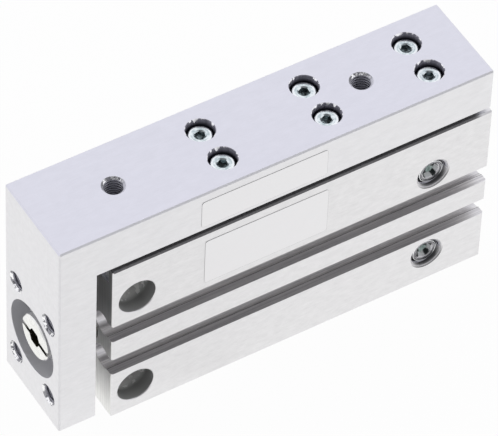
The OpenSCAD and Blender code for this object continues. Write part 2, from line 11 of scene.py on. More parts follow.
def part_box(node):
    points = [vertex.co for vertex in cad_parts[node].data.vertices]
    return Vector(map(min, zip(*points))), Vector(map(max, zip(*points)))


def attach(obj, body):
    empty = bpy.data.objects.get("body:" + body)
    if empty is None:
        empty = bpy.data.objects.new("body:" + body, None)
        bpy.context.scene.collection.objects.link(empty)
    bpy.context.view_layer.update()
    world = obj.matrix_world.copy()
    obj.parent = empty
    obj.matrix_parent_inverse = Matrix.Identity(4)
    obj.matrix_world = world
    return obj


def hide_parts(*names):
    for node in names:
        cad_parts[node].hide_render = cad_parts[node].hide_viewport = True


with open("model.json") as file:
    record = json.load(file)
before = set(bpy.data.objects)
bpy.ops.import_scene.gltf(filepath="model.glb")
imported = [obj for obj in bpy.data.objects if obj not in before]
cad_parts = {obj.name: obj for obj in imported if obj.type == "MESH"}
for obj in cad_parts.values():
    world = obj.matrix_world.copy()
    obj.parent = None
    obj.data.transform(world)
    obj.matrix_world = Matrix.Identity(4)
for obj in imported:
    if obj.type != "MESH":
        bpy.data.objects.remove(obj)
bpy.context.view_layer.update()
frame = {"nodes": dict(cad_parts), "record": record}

MM = 0.001
HAIR = 0.01 * MM  # tells what lies just behind a face from the face itself
TURN = 2 * math.pi
RIGHT_ANGLE = math.pi / 2
AXIS = {"x": 0, "y": 1, "z": 2}

# ---------------------------------------------------------------- places, from the frame

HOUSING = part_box("housing")
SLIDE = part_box("slide_plate")
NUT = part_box("slotted_nut")
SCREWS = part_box("rail_screws")
PLUGS = [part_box("port_plug_upper"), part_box("port_plug_lower")]
MOUNTS = {mount["name"]: mount for mount in frame["record"]["mounts"]}

SAWN_X, FRONT_Y = HOUSING[0][:2]
REAR_X, BACK_Y, HOUSING_TOP = HOUSING[1]
YOKE_X = SLIDE[0][0]
TOP_Z = SLIDE[1][2]
NUT_FACE = NUT[0][0]
SCREW_FACE = SCREWS[1][2]
PLUG_FACE = PLUGS[0][0][1]


def spots(name, first, second=None):
    """The holes of a mount: its centre, spread along one or two axes by its spacings."""
    centre = Vector(MOUNTS[name]["pos_m"])
    sizes = MOUNTS[name]["dims"]
    steps = [(first, sizes.get("spacing_x_mm") or sizes["spacing_y_mm"])]
    if second:
        steps.append((second, sizes["spacing_y_mm"]))
    places = [centre]
    for axis, spacing in steps:
        step = Vector((0, 0, 0))
        step[AXIS[axis]] = spacing * MM / 2
        places = [place + side * step for place in places for side in (-1, 1)]
    return places


def on_front(places):
    """The same places, moved onto the front face."""
    return [Vector((place.x, FRONT_Y, place.z)) for place in places]


# Sizes that the finishes and the small pieces share, in metres.
SCREW_HEAD_D = 3.8 * MM
SCREW_HEAD_H = 2.0 * MM
SCREW_BORE_D = 4.5 * MM
SCREW_BORE_DEPTH = 4 * MM
SCREW_HEX = 1.5 * MM
SCREW_HEX_H = 1.0 * MM
SCREW_SHANK_D = 1.96 * MM
PLUG_R = 2.45 * MM
PLUG_HEAD_R = 2.08 * MM
PLUG_HEX = 2.6 * MM
PLUG_HEX_H = 1.0 * MM
PORT_MOUTH_R = 2.9 * MM
MOUNT_BORE_D = 6.2 * MM
SLOT_D = 4.2 * MM
SLOT_LIP = 1.35 * MM
NUT_R = 3.75 * MM
RECESS_R = 6.5 * MM
M3, M3_PITCH, M3_MOUTH_R = 3 * MM, 0.5 * MM, 1.95 * MM
M4, M4_PITCH = 4 * MM, 0.7 * MM
M5, M5_PITCH = 5 * MM, 0.8 * MM
FRONT_HALF_Y = -0.5 * MM  # what opens in the front face ends in front of this

# How squarely an end faces along its axis, and at least how squarely a bevel does.
SQUARE_ON = 0.6
SLANTING = 0.3

SCREW_XS = [SCREWS[0][0] + SCREW_HEAD_D / 2, SCREWS[1][0] - SCREW_HEAD_D / 2]
SCREW_XS.insert(1, sum(SCREW_XS) / 2)
SCREW_Y = SCREWS[1][1] - SCREW_HEAD_D / 2
SCREW_SPOTS = [Vector((x, side * SCREW_Y, SCREW_FACE)) for x in SCREW_XS for side in (-1, 1)]
PLUG_SPOTS = [
    Vector(((low[0] + high[0]) / 2, low[1], (low[2] + high[2]) / 2)) for low, high in PLUGS]
ARM_THREADS = spots("slide_top_threads", "x")
YOKE_THREADS = spots("yoke_threads", "y", "z")
MOUNT_SPOTS = on_front(spots("housing_through_holes", "z"))
BACK_THREADS = spots("housing_back_threads", "z")
FRONT_PORTS = on_front(PLUG_SPOTS)
REAR_PORTS = [Vector((REAR_X, 0, place.z)) for place in PLUG_SPOTS]
SLOT_ZS = [MOUNTS[name]["pos_m"][2] for name in ("sensor_slot_upper", "sensor_slot_lower")]
NUT_SPOT = Vector((YOKE_X, 0, (NUT[0][2] + NUT[1][2]) / 2))

# ---------------------------------------------------------------- nodes


class Wire:
    """A socket that takes part in Python arithmetic on single values."""

    def __init__(self, net, socket):
        self.net = net
        self.socket = socket

    def __add__(self, other):
        return self.net.maths("ADD", self, other)

    __radd__ = __add__

    def __sub__(self, other):
        return self.net.maths("SUBTRACT", self, other)

    def __rsub__(self, other):
        return self.net.maths("SUBTRACT", other, self)

    def __mul__(self, other):
        return self.net.maths("MULTIPLY", self, other)

    __rmul__ = __mul__

    def __truediv__(self, other):
        return self.net.maths("DIVIDE", self, other)

    def __rtruediv__(self, other):
        return self.net.maths("DIVIDE", other, self)

    def __gt__(self, other):
        return self.net.maths("GREATER_THAN", self, other)

    def __lt__(self, other):
        return self.net.maths("LESS_THAN", self, other)

    def __or__(self, other):
        return self.net.maths("MAXIMUM", self, other)

    def __abs__(self):
        return self.net.maths("ABSOLUTE", self)


class Net:
    """A node tree that nodes are added to through one method."""

    def __init__(self, tree):
        self.tree = tree

    def feed(self, socket, value):
        """Puts a number, a colour, a data block or a wire into a socket."""
        if isinstance(value, Wire):
            self.tree.links.new(value.socket, socket)
        elif socket.type == "RGBA" and len(value) == 3:
            socket.default_value = (*value, 1)
        else:
            socket.default_value = value

    def node(self, kind, settings=None, inputs=None, out=0):
        """Adds a node: its settings first, then the values or links of its sockets."""
        node = self.tree.nodes.new(kind)
        for key, value in (settings or {}).items():
            setattr(node, key, value)
        for key, value in (inputs or {}).items():
            self.feed(node.inputs[key], value)
        return Wire(self, node.outputs[out])

    def maths(self, operation, *values):
        """A Math node on single values."""
        return self.node("ShaderNodeMath", {"operation": operation}, dict(enumerate(values)))

    def vectors(self, operation, *values, out=0):
        """A Vector Math node."""
        return self.node(
            "ShaderNodeVectorMath", {"operation": operation}, dict(enumerate(values)), out)

    def spread(self, value, low, high, to_low=0.0, to_high=1.0):
        """Maps a value from one range to another, clamped."""
        return self.node("ShaderNodeMapRange", inputs={
            "Value": value, "From Min": low, "From Max": high, "To Min": to_low, "To Max": to_high})

    def pick(self, factor, first, second):
        """Goes from one value to another as the factor goes from 0 to 1."""
        return self.node("ShaderNodeMix", {"data_type": "FLOAT"}, {0: factor, 2: first, 3: second})

    def blend(self, factor, first, second):
        """Goes from one colour to another as the factor goes from 0 to 1."""
        return self.node(
            "ShaderNodeMix", {"data_type": "RGBA"}, {0: factor, 6: first, 7: second}, out=2)


class Finish(Net):
    """A material under construction: one principled shader and the nodes that feed it."""

    def __init__(self, name, color, metallic, roughness):
        self.material = bpy.data.materials.new(name)
        self.material.use_nodes = True
        super().__init__(self.material.node_tree)
        self.shader = self.tree.nodes["Principled BSDF"]
        self.set("Base Color", color)
        self.set("Metallic", metallic)
        self.set("Roughness", roughness)

    def set(self, socket, value):
        """Sets or links one socket of the shader."""
        self.feed(self.shader.inputs[socket], value)

    def place(self):
        """The Object coordinates, in metres."""
        return self.node("ShaderNodeTexCoord", out="Object")

    def along(self, axis, vector=None):
        """One component of a vector, the Object coordinates unless another is given."""
        source = vector or self.place()
        return self.node("ShaderNodeSeparateXYZ", inputs={0: source}, out=AXIS[axis])

    def facing(self, axis):
        """How squarely the surface faces along an axis, from 0 to 1."""
        return abs(self.along(axis, self.node("ShaderNodeNewGeometry", out="Normal")))

    def noise(self, scale, detail=3, roughness=0.55):
        """Noise around a half, with its features per metre, one number or one for each axis."""
        if not isinstance(scale, tuple):
            scale = (scale, scale, scale)
        stretched = self.node("ShaderNodeMapping", inputs={"Vector": self.place(), "Scale": scale})
        return self.node("ShaderNodeTexNoise", inputs={
            "Vector": stretched, "Scale": 1, "Detail": detail, "Roughness": roughness})

    def stored(self, name):
        """A number that the mesh stores under this name."""
        return self.node("ShaderNodeAttribute", {"attribute_name": name}, out="Fac")

    def inside(self, axis, centres, radius):
        """One inside round holes that run along an axis, and nought outside them."""
        across = [0 if other == AXIS[axis] else 1 for other in range(3)]
        flat = self.vectors("MULTIPLY", self.place(), across)
        found = None
        for centre in centres:
            level = [value * kept for value, kept in zip(centre, across)]
            near = self.vectors("DISTANCE", flat, level, out="Value") < radius
            found = near if found is None else found | near
        return found

    def bump(self, height, distance, strength=1.0):
        """Feeds a height into the shader's normal."""
        self.set("Normal", self.node("ShaderNodeBump", inputs={
            "Height": height, "Strength": strength, "Distance": distance}))


def shade(color, factor):
    """A colour made darker or lighter."""
    return tuple(channel * factor for channel in color)


# ---------------------------------------------------------------- finishes

WHITE = (0.97, 0.97, 0.98)
BLACK = (0.015, 0.015, 0.016)


def grain(finish, length, width):
    """Fine brushing along X, and saw marks up and down the ends."""
    lines = finish.noise((1 / length, 1 / width, 1 / width), detail=4, roughness=0.62)
    saw = finish.noise((1 / width, 1 / width, 0.3 / length), detail=3, roughness=0.6)
    return finish.pick(finish.facing("x") > SQUARE_ON, lines, saw)


def mottled(finish, lines, along, across, dark, light):
    """Brushed metal whose tone wanders from dark to light with its brushing and in clouds."""
    cloud = finish.noise((along, across, across), detail=5, roughness=0.75)
    return finish.blend(finish.spread(lines * 0.4 + cloud * 0.6, 0.36, 0.64), dark, light)


def tarnish(finish):
    """Broad soft patches, from nought to one."""
    return finish.spread(finish.noise(500, detail=2), 0.35, 0.65)


def from_plug(finish):
    """How far a place lies to the right of the nearer plug's middle, and above it."""
    level = finish.along("z") - NUT_SPOT.z
    side = (level > 0) * 2 - 1
    return finish.along("x") - PLUG_SPOTS[0].x, level - side * (PLUG_SPOTS[0].z - NUT_SPOT.z)


def under_plug(finish):
    """Nought over a plug and one under it, where its rim and its mouth lie in shade."""
    across, up = from_plug(finish)
    return finish.spread(across * 0.26 - up, 0.5 * MM, 2.2 * MM)


def slot_skin(finish, depth):
    """Inside of the sensor slots: painted shade, drawing lines along them, and a painted shade line
    where a lip ends.
    """
    drawn = finish.noise((50, 3500, 3500), detail=4, roughness=0.7)
    # The groove is darker than the faces: painted shade.
    skin = finish.blend(finish.spread(drawn, 0.38, 0.60), (0.60, 0.59, 0.60), (0.82, 0.81, 0.81))
    # A line of painted shade where the lip ends.
    lip_shade_line = abs(depth - SLOT_LIP) < 0.07 * MM
    return finish.blend(lip_shade_line, skin, (0.30, 0.295, 0.30))


def mount_bore_skin(finish, x, depth):
    """Wall of the mounting counterbores in painted light and shade: dim inside the mouth, paler
    with painted glints near the floor.
    """
    mouth = finish.spread(depth, 0.2 * MM, 1.8 * MM, 0.50, 0.30)
    painted_floor_light = finish.spread(depth, 2.1 * MM, 3.1 * MM, 0, 0.55)
    # Painted shade, deeper on the wall to the right.
    side = finish.spread(x - MOUNT_SPOTS[0].x, 0, MOUNT_BORE_D / 2, 1.0, 0.72)
    painted_glints = (finish.noise((1300, 900, 1300), detail=2) > 0.54) * (depth > 2.5 * MM)
    return finish.blend((mouth + painted_floor_light) * side + painted_glints * 0.35, BLACK, (1.0, 1.0, 0.98))


def port_mouth_skin(finish, depth, shaded):
    """Bevel around a plug: painted light over the plug, and painted shade inside its edge under the
    plug.
    """
    inward = finish.spread(depth, 0.10 * MM, 0.20 * MM)
    lower = finish.blend(inward, (0.80, 0.79, 0.79), (0.14, 0.14, 0.14))
    return finish.blend(shaded, (1.0, 0.99, 0.98), lower)


def roof_skin(finish, depth):
    """Top of the housing under the arm: deep shade, with faint strokes across it."""
    strokes = finish.spread(finish.noise((1800, 300, 900), detail=2), 0.35, 0.65, 0.8, 1)
    shade_under_arm = finish.spread(depth, 0.15 * MM, 0.75 * MM, 0.21, 0.15)
    return finish.blend(shade_under_arm * strokes, BLACK, (1.0, 0.98, 0.99))


def sawn_skin(finish, z):
    """Sawn end of the housing: streaks across it, and painted shade that deepens towards the arm.
    """
    streaks = finish.spread(finish.noise((100, 4000, 60), detail=3), 0.4, 0.6)
    cut = finish.blend(streaks, (0.90, 0.90, 0.88), (1.0, 1.0, 0.98))
    # Painted shade, deeper towards the arm above.
    return finish.blend(finish.spread(z, 5 * MM, 25 * MM, 1, 0.45), BLACK, cut)


def anodised_housing():
    """Clear-anodised extrusion: brushed faces, a sawn end and dull counterbores, with painted shade
    in its grooves, round its ports, under the arm and down the sawn end, and painted light and
    shade in its counterbores and port mouths.
    """
    tone = (0.875, 0.868, 0.875)
    finish = Finish("anodised_housing", tone, 1.0, 0.34)
    x, y, z = (finish.along(axis) for axis in AXIS)
    depth = y - FRONT_Y
    front_half = y < FRONT_HALF_Y
    endways = finish.facing("x") > SQUARE_ON
    lines = grain(finish, 4 * MM, 0.16 * MM)
    skin = mottled(finish, lines, 500, 1000, shade(tone, 0.88), shade(tone, 1.015))

    sunk = (depth > 0.12 * MM) * front_half
    slots = (abs(z - SLOT_ZS[0]) < SLOT_D / 2) | (abs(z - SLOT_ZS[1]) < SLOT_D / 2)
    skin = finish.blend(slots * sunk * (1 - endways), skin, slot_skin(finish, depth))

    shaded = under_plug(finish)
    mouths = finish.inside("y", FRONT_PORTS, PORT_MOUTH_R) * (depth > HAIR) * front_half
    skin = finish.blend(mouths, skin, port_mouth_skin(finish, depth, shaded))
    # A thin arc of painted shadow just outside each port's mouth, under the plug.
    shadow_offset = 0.09 * MM
    shadow_arc_spots = [place + Vector((shadow_offset, 0, -shadow_offset)) for place in FRONT_PORTS]
    painted_shading = finish.inside("y", shadow_arc_spots, PORT_MOUTH_R + 0.06 * MM) * (depth < HAIR) * shaded
    skin = finish.blend(painted_shading * 0.9, skin, (0.12, 0.12, 0.12))

    bores = finish.inside("y", MOUNT_SPOTS, MOUNT_BORE_D / 2 + 0.02 * MM) * sunk
    skin = finish.blend(bores, skin, mount_bore_skin(finish, x, depth))

    roof = (z > HOUSING_TOP - 0.35 * MM) * (finish.facing("z") > SLANTING)
    roof = roof * finish.spread(x, REAR_X - 3 * MM, REAR_X - 1.8 * MM, 1, 0)
    skin = finish.blend(roof, skin, roof_skin(finish, depth))

    sawn = endways * (x < SAWN_X + 0.05 * MM)
    skin = finish.blend(sawn, skin, sawn_skin(finish, z))

    metallic = finish.pick(mouths, finish.pick(bores, 1, 0.3), 0)
    brushed = finish.spread(lines, 0.3, 0.7, 0.28, 0.42)
    finish.set("Base Color", skin)
    finish.set("Metallic", finish.pick(roof, metallic, 0.15))
    finish.set("Roughness", finish.pick(sawn, finish.pick(bores, brushed, 0.38), 0.6))
    finish.bump(lines, 0.004 * MM, 0.6)
    return finish.material


def anodised_slide():
    """Clear-anodised slide: ground faces, a top in a darker, bluer tone of painted sky reflection,
    and counterbores whose painted shade deepens towards the screws.
    """
    tone = (0.885, 0.88, 0.895)
    # The top is a darker, bluer copy of the tone: painted reflection of the sky.
    top_sky_reflection_tone = (0.785, 0.785, 0.85)
    finish = Finish("anodised_slide", tone, 1.0, 0.36)
    x, y, z = (finish.along(axis) for axis in AXIS)
    depth = TOP_Z - z
    lines = grain(finish, 5 * MM, 0.14 * MM)
    sides = mottled(finish, lines, 400, 900, shade(tone, 0.91), tone)
    top = mottled(finish, lines, 400, 900, shade(top_sky_reflection_tone, 0.95), shade(top_sky_reflection_tone, 1.01))
    skin = finish.blend(finish.facing("z") > 0.7, sides, top)
    # The nut's recess: a darker grey, painted shade inside it.
    recess = finish.inside("x", [NUT_SPOT], RECESS_R) * (x > YOKE_X + 0.1 * MM)
    skin = finish.blend(recess, skin, (0.68, 0.68, 0.69))

    # Counterbores: painted shade that deepens down the wall, broken by painted reflected streaks,
    # and painted glints that hang from its edge.
    bores = finish.inside("z", SCREW_SPOTS, SCREW_BORE_D / 2 + 0.12 * MM)
    bores = bores * (depth > HAIR) * (depth < SCREW_BORE_DEPTH)
    arm_marks = finish.noise((1250, 1250, 0), detail=2)
    reflected_streaks = finish.spread(arm_marks, 0.35, 0.65, 0.5, 1)
    light = finish.spread(z, TOP_Z - 1.3 * MM, TOP_Z - 0.5 * MM) * reflected_streaks
    wall = finish.blend(light, (0.03, 0.03, 0.045), (0.44, 0.43, 0.50))
    glint = depth < finish.spread(arm_marks, 0.50, 0.68, 0, 0.75 * MM)
    skin = finish.blend(bores, skin, finish.blend(glint, wall, WHITE))
    painted_glints = bores * glint

    # Mouths of the threads: painted glints and painted shade around them, softer on the near side
    # of those in the arm.
    arm_mouths = finish.inside("z", ARM_THREADS, M3_MOUTH_R) * (depth > HAIR) * (depth < 2 * MM)
    yoke_holes = finish.inside("x", YOKE_THREADS, M3_MOUTH_R) * (x > YOKE_X + HAIR)
    mouths = arm_mouths | (yoke_holes * (x < YOKE_X + 2 * MM))
    marks = finish.pick(yoke_holes, arm_marks, finish.noise((0, 1250, 1250), detail=2))
    teeth = finish.spread(marks, 0.46, 0.52)
    mouth_glints_and_shade = finish.blend(teeth, (0.30, 0.30, 0.32), (1.0, 1.0, 1.0))
    far = finish.spread(y, -0.5 * MM, 1.0 * MM)
    lips = finish.blend(far, (0.80, 0.80, 0.87), mouth_glints_and_shade)
    skin = finish.blend(mouths, skin, finish.blend(yoke_holes, lips, mouth_glints_and_shade))
    sparks = arm_mouths * far * teeth

    # Long edges of the arm, and the upright edges of the yoke.
    bevel = finish.facing("y") > SLANTING
    edge = bevel * (finish.facing("z") > SLANTING) * (depth < 0.3 * MM) * (1 - bores) * (1 - mouths)
    upright = bevel * (finish.facing("x") > SLANTING) * (x < YOKE_X + 0.3 * MM)
    upright = upright * (1 - mouths) * (1 - recess)
    skin = finish.blend(edge, skin, (0.88, 0.88, 0.90))

    dull = bores | (recess * 0.8) | edge | (upright * 0.25) | arm_mouths
    bright = sparks | painted_glints
    brushed = finish.spread(lines, 0.3, 0.7, 0.30, 0.44)
    chips = marks * (yoke_holes | sparks) * 0.5 + painted_glints * depth * (0.65 / MM)
    finish.set("Base Color", skin)
    finish.set("Metallic", finish.pick(dull * (1 - bright), 1, 0))
    finish.set("Roughness", finish.pick(yoke_holes | bright, brushed, 0.15))
    finish.bump(lines * 0.0015 + chips, MM)
    return finish.material


def cut_thread():
    """Freshly cut ridges: painted light on the crests here and there, and painted shade in the
    roots.
    """
    finish = Finish("cut_thread", (0.60, 0.60, 0.62), 1.0, 0.14)
    catch = finish.spread(finish.noise(700, detail=1), 0.42, 0.58, 0.6, 1)
    lit = finish.spread(finish.stored("crest"), 0.1, 0.5) * catch
    finish.set("Base Color", finish.blend(lit, (0.45, 0.45, 0.50), (1.0, 1.0, 1.0)))
    finish.set("Metallic", finish.pick(lit, 0.3, 0))
    return finish.material


def screw_zinc():
    """Bright zinc rail screws with patches of painted shade on the step round each socket, and
    sockets in painted shade with patches of painted light.
    """
    finish = Finish("screw_zinc", (0.96, 0.985, 0.99), 1.0, 0.14)
    cloud = finish.noise(900)
    rim = finish.blend(finish.spread(cloud, 0.35, 0.65), (0.86, 0.90, 0.91), (0.95, 0.98, 0.99))
    # Patches of painted shade on the step round the socket.
    painted_shading = finish.spread(finish.noise((1600, 1600, 0), detail=2), 0.38, 0.62)
    step = finish.blend(painted_shading, (0.52, 0.60, 0.62), (0.84, 0.90, 0.91))
    skin = finish.blend(finish.inside("z", SCREW_SPOTS, 1.42 * MM), rim, step)
    deep = finish.along("z") < SCREW_FACE - 0.14 * MM
    # Sockets: painted shade, with patches of painted light.
    sockets = finish.inside("z", SCREW_SPOTS, 0.93 * MM) * deep
    patches = finish.spread(finish.noise(1300, detail=1), 0.44, 0.56)
    socket_light_and_shade = finish.blend(patches, (0.07, 0.09, 0.095), (0.48, 0.58, 0.60))
    finish.set("Base Color", finish.blend(sockets, skin, socket_light_and_shade))
    finish.set("Metallic", finish.pick(sockets, 1, 0.4))
    finish.set("Roughness", finish.spread(cloud, 0.3, 0.7, 0.08, 0.2))
    return finish.material


def plug_zinc():
    """Greenish zinc plugs: a turned face, a step with a painted highlight, painted shadow under
    each plug, and a socket of painted light and shade.
    """
    socket_shade = (0.03, 0.035, 0.035)
    shadow = (0.02, 0.02, 0.022)
    ring_pitch = 0.25 * MM
    finish = Finish("plug_zinc", (0.30, 0.30, 0.32), 1.0, 0.16)
    depth = finish.along("y") - PLUG_FACE
    cloud = finish.spread(finish.noise(1500), 0.35, 0.65)
    across, up = from_plug(finish)
    square = across * across + up * up
    shaded = under_plug(finish) * 0.9

    # The rim, the step inside it with a painted highlight, and the turned face; painted shadow
    # falls on all three under the plug.
    rim = finish.blend(cloud, (0.42, 0.42, 0.44), (0.60, 0.60, 0.62))
    rim = finish.blend(shaded, rim, shadow)
    step = finish.blend(shaded * 0.8, (0.97, 0.99, 0.98), (0.10, 0.10, 0.10))
    rings = finish.maths("COSINE", finish.maths("SQRT", square) * (TURN / ring_pitch))
    face = finish.blend(finish.spread(rings, -0.5, 0.5), (0.13, 0.13, 0.14), (0.62, 0.61, 0.64))
    face = finish.blend(shaded, face, shadow)
    skin = finish.blend(finish.inside("y", PLUG_SPOTS, PLUG_HEAD_R + 0.04 * MM), rim, step)
    skin = finish.blend(finish.inside("y", PLUG_SPOTS, PLUG_HEAD_R - 0.14 * MM), skin, face)

    # The socket: four strokes of painted light and four of painted shade down its walls, and
    # painted shade in the corners of its drilled floor.
    angle = finish.maths("ARCTAN2", up, across)
    wander = finish.noise(1100, detail=2) * 2.5 - 1.25
    strokes = finish.maths("COSINE", angle * 4 + math.radians(220) + wander)
    walls = finish.inside("y", PLUG_SPOTS, 1.6 * MM) * (depth > 0.15 * MM)
    wall = finish.blend(finish.spread(strokes, 0.0, 0.5), (1.0, 1.0, 1.0), socket_shade)
    skin = finish.blend(walls, skin, wall)
    wedges = finish.maths("COSINE", angle * 3 + wander)
    corners = finish.spread(wedges, 0.3, 0.7) * (square > (0.5 * MM) ** 2)
    bottom = finish.blend(cloud, (0.28, 0.40, 0.36), (0.70, 0.84, 0.78))
    drilled = finish.inside("y", PLUG_SPOTS, 1.4 * MM) * (depth > PLUG_HEX_H)
    skin = finish.blend(drilled, skin, finish.blend(corners, bottom, socket_shade))

    finish.set("Base Color", skin)
    finish.set("Metallic", finish.pick(walls, 1, 0))
    finish.set("Roughness", finish.spread(cloud, 0, 1, 0.10, 0.22))
    return finish.material


def turned_metal(name, tone, roughness, metallic=1.0, dark=0.86):
    """Machined metal with fine marks and a slight tarnish."""
    finish = Finish(name, tone, metallic, roughness)
    marks = finish.noise(2500)
    finish.set("Base Color", finish.blend(tarnish(finish), shade(tone, dark), tone))
    finish.set("Roughness", finish.spread(marks, 0.25, 0.75, roughness * 0.75, roughness * 1.25))
    finish.bump(marks, 0.004 * MM, 0.4)
    return finish.material


def slotted_nut_finish():
    """Bright nut with turning rings on its face, and painted shade in its slot and hexagon that
    turns to painted light towards the rim.
    """
    tone = (0.93, 0.93, 0.90)
    ring_pitch = 0.22 * MM
    finish = Finish("bright_nut", tone, 1.0, 0.2)
    centred = finish.vectors("SUBTRACT", finish.place(), tuple(NUT_SPOT))
    radius = finish.vectors("LENGTH", finish.vectors("MULTIPLY", centred, (0, 1, 1)), out="Value")
    skin = finish.blend(finish.spread(finish.noise(1500), 0.4, 0.6), shade(tone, 0.93), tone)
    deep = finish.along("x") > NUT_FACE + 0.2 * MM
    # The slot and hexagon: painted shade, turning to painted light towards the rim.
    slot = deep * (radius < NUT_R - 0.25 * MM)
    painted_shading = finish.spread(radius, NUT_R - 1.0 * MM, NUT_R - 0.4 * MM)
    skin = finish.blend(slot, skin, finish.blend(painted_shading, (0.035, 0.033, 0.022), (0.75, 0.75, 0.73)))
    side = deep * (radius > NUT_R - 0.02 * MM)
    skin = finish.blend(side, skin, (0.74, 0.74, 0.74))
    finish.set("Base Color", skin)
    finish.set("Roughness", finish.pick(slot, 0.2, 0.6))
    finish.set("Metallic", finish.pick(deep * (radius > NUT_R - 0.6 * MM), 1, 0))
    finish.bump(finish.maths("SINE", radius * (TURN / ring_pitch)), 0.002 * MM, 0.3)
    return finish.material


def rod_finish():
    """Nickelled rod whose end, behind the nut's hexagon, carries painted shade."""
    tone = (0.86, 0.86, 0.85)
    finish = Finish("rod_nickel", tone, 1.0, 0.14)
    end = (finish.along("x") < NUT[1][0]) * (finish.facing("x") > 0.5)
    skin = finish.blend(tarnish(finish), (0.80, 0.80, 0.79), tone)
    # Painted shade on the rod's end.
    finish.set("Base Color", finish.blend(end, skin, (0.17, 0.16, 0.10)))
    finish.set("Roughness", finish.pick(end, 0.14, 0.5))
    return finish.material


def moulded(name, tone, roughness):
    """Rubber or resin with a matt, slightly uneven skin."""
    finish = Finish(name, tone, 0.0, roughness)
    skin = finish.noise(3000)
    finish.set("Base Color", finish.blend(finish.spread(skin, 0.3, 0.7), shade(tone, 0.8), tone))
    finish.set("Roughness", finish.spread(skin, 0.2, 0.8, roughness * 0.85, roughness * 1.1))
    finish.bump(skin, 0.006 * MM, 0.4)
    return finish.material


def film_finish():
    """Silvery film, with a thin line of painted shade along its edge."""
    tone = (0.875, 0.868, 0.878)
    finish = Finish("blank_film", tone, 1.0, 0.34)
    # The band by the edge: a line of painted shade.
    rim = finish.spread(finish.stored("rim"), 0.2, 0.8)
    cloud = tarnish(finish)
    skin = finish.blend(cloud, shade(tone, 0.98), tone)
    finish.set("Base Color", finish.blend(rim, skin, (0.42, 0.42, 0.42)))
    finish.set("Roughness", finish.spread(cloud, 0, 1, 0.30, 0.36))
    return finish.material


FINISHES = {
    "housing": anodised_housing(),
    "slide": anodised_slide(),
    "nut": slotted_nut_finish(),
    "cut_thread": cut_thread(),
    "ground_steel": turned_metal("ground_steel", (0.55, 0.56, 0.58), 0.22),
    "zinc": turned_metal("bright_zinc", (0.88, 0.92, 0.93), 0.16, dark=0.94),
    "screw_zinc": screw_zinc(),
    "plug_zinc": plug_zinc(),
    "nickel": turned_metal("bright_nickel", (0.86, 0.86, 0.85), 0.14),
    "rod": rod_finish(),
    "black_steel": turned_metal("phosphated_steel", (0.05, 0.05, 0.055), 0.45, 0.6),
    "bronze": turned_metal("bush_bronze", (0.58, 0.40, 0.20), 0.30),
    "brass": turned_metal("turned_brass", (0.72, 0.58, 0.28), 0.25),
    "resin": moulded("cage_resin", (0.80, 0.76, 0.62), 0.5),
    "magnet": turned_metal("magnet_grey", (0.22, 0.22, 0.24), 0.4),
    "rubber": moulded("black_rubber", (0.03, 0.03, 0.032), 0.6),
    "film": film_finish(),
}

NODE_FINISH = {
    "housing": "housing",
    "slide_plate": "slide",
    "guide_channel": "ground_steel",
    "guide_rail": "ground_steel",
    "cage_stops": "ground_steel",
    "piston_rod": "rod",
    "channel_screws": "zinc",
    "rail_screws": "zinc",
    "port_plug_upper": "plug_zinc",
    "port_plug_lower": "plug_zinc",
    "passage_plugs": "zinc",
    "lock_nut": "zinc",
    "slotted_nut": "nut",
    "balls_front": "nickel",
    "balls_rear": "nickel",
    "front_snap_ring": "black_steel",
    "rear_snap_ring": "black_steel",
    "nut_washer": "black_steel",
    "rod_bush": "bronze",
    "piston_front": "brass",
    "piston_rear": "brass",
    "front_cap": "brass",
    "rear_cap": "brass",
    "ball_cage_front": "resin",
    "ball_cage_rear": "resin",
    "piston_magnet": "magnet",
}


def dress_nodes():
    """Gives each CAD node its finish."""
    for name, node in frame["nodes"].items():
        node.data.materials.clear()
        node.data.materials.append(FINISHES[NODE_FINISH.get(name, "rubber")])


# ---------------------------------------------------------------- making pieces


def keep(name, mesh, body, finish, replaced=()):
    """Makes a mesh a piece: its body and finish, and the nodes that it stands for."""
    mesh.materials.clear()
    mesh.materials.append(FINISHES[finish])
    piece = bpy.data.objects.new(name, mesh)
    bpy.context.scene.collection.objects.link(piece)
    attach(piece, body)
    if replaced:
        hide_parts(*replaced)
    return piece


def closed_mesh(name, shell):
    """Turns a bmesh into a mesh with doubles merged and faces outward."""
    bmesh.ops.remove_doubles(shell, verts=shell.verts, dist=0.0001 * MM)
    bmesh.ops.recalc_face_normals(shell, faces=shell.faces)
    mesh = bpy.data.meshes.new(name)
    shell.to_mesh(mesh)
    shell.free()
    return mesh


def turned(name, rings, sides=144):
    """A closed solid turned about +Z from (height, radius) rings; a radius may go by angle."""
    shell = bmesh.new()
    rows = []
    for height, radius in rings:
        if radius == 0:
            rows.append([shell.verts.new((0, 0, height))])
            continue
        row = []
        for i in range(sides):
            angle = TURN * i / sides
            reach = radius(angle) if callable(radius) else radius
            row.append(shell.verts.new((reach * math.cos(angle), reach * math.sin(angle), height)))
        rows.append(row)
    for lower, upper in zip(rows, rows[1:]):
        for i in range(sides):
            j = (i + 1) % sides
            around = [(lower, i), (lower, j), (upper, j), (upper, i)]
            corners = [row[k % len(row)] for row, k in around]
            shell.faces.new(list(dict.fromkeys(corners)))
    return closed_mesh(name, shell)


def hexagon(flats):
    """The radius of a hexagon by angle."""
    return lambda angle: flats / 2 / math.cos((angle + TURN / 12) % (TURN / 6) - TURN / 12)


def knurled(radius, depth, teeth=36):
    """The radius of a straight-knurled head by angle."""
    return lambda angle: radius - depth * abs(2 * ((angle * teeth / TURN) % 1) - 1)


def rounded_rim(height, radius, bend, steps=4):
    """The rings that round a rim over, from the side up to the face."""
    turns = [RIGHT_ANGLE * i / steps for i in range(steps + 1)]
    return [
        (height - bend + bend * math.sin(turn), radius - bend + bend * math.cos(turn))
        for turn in turns]


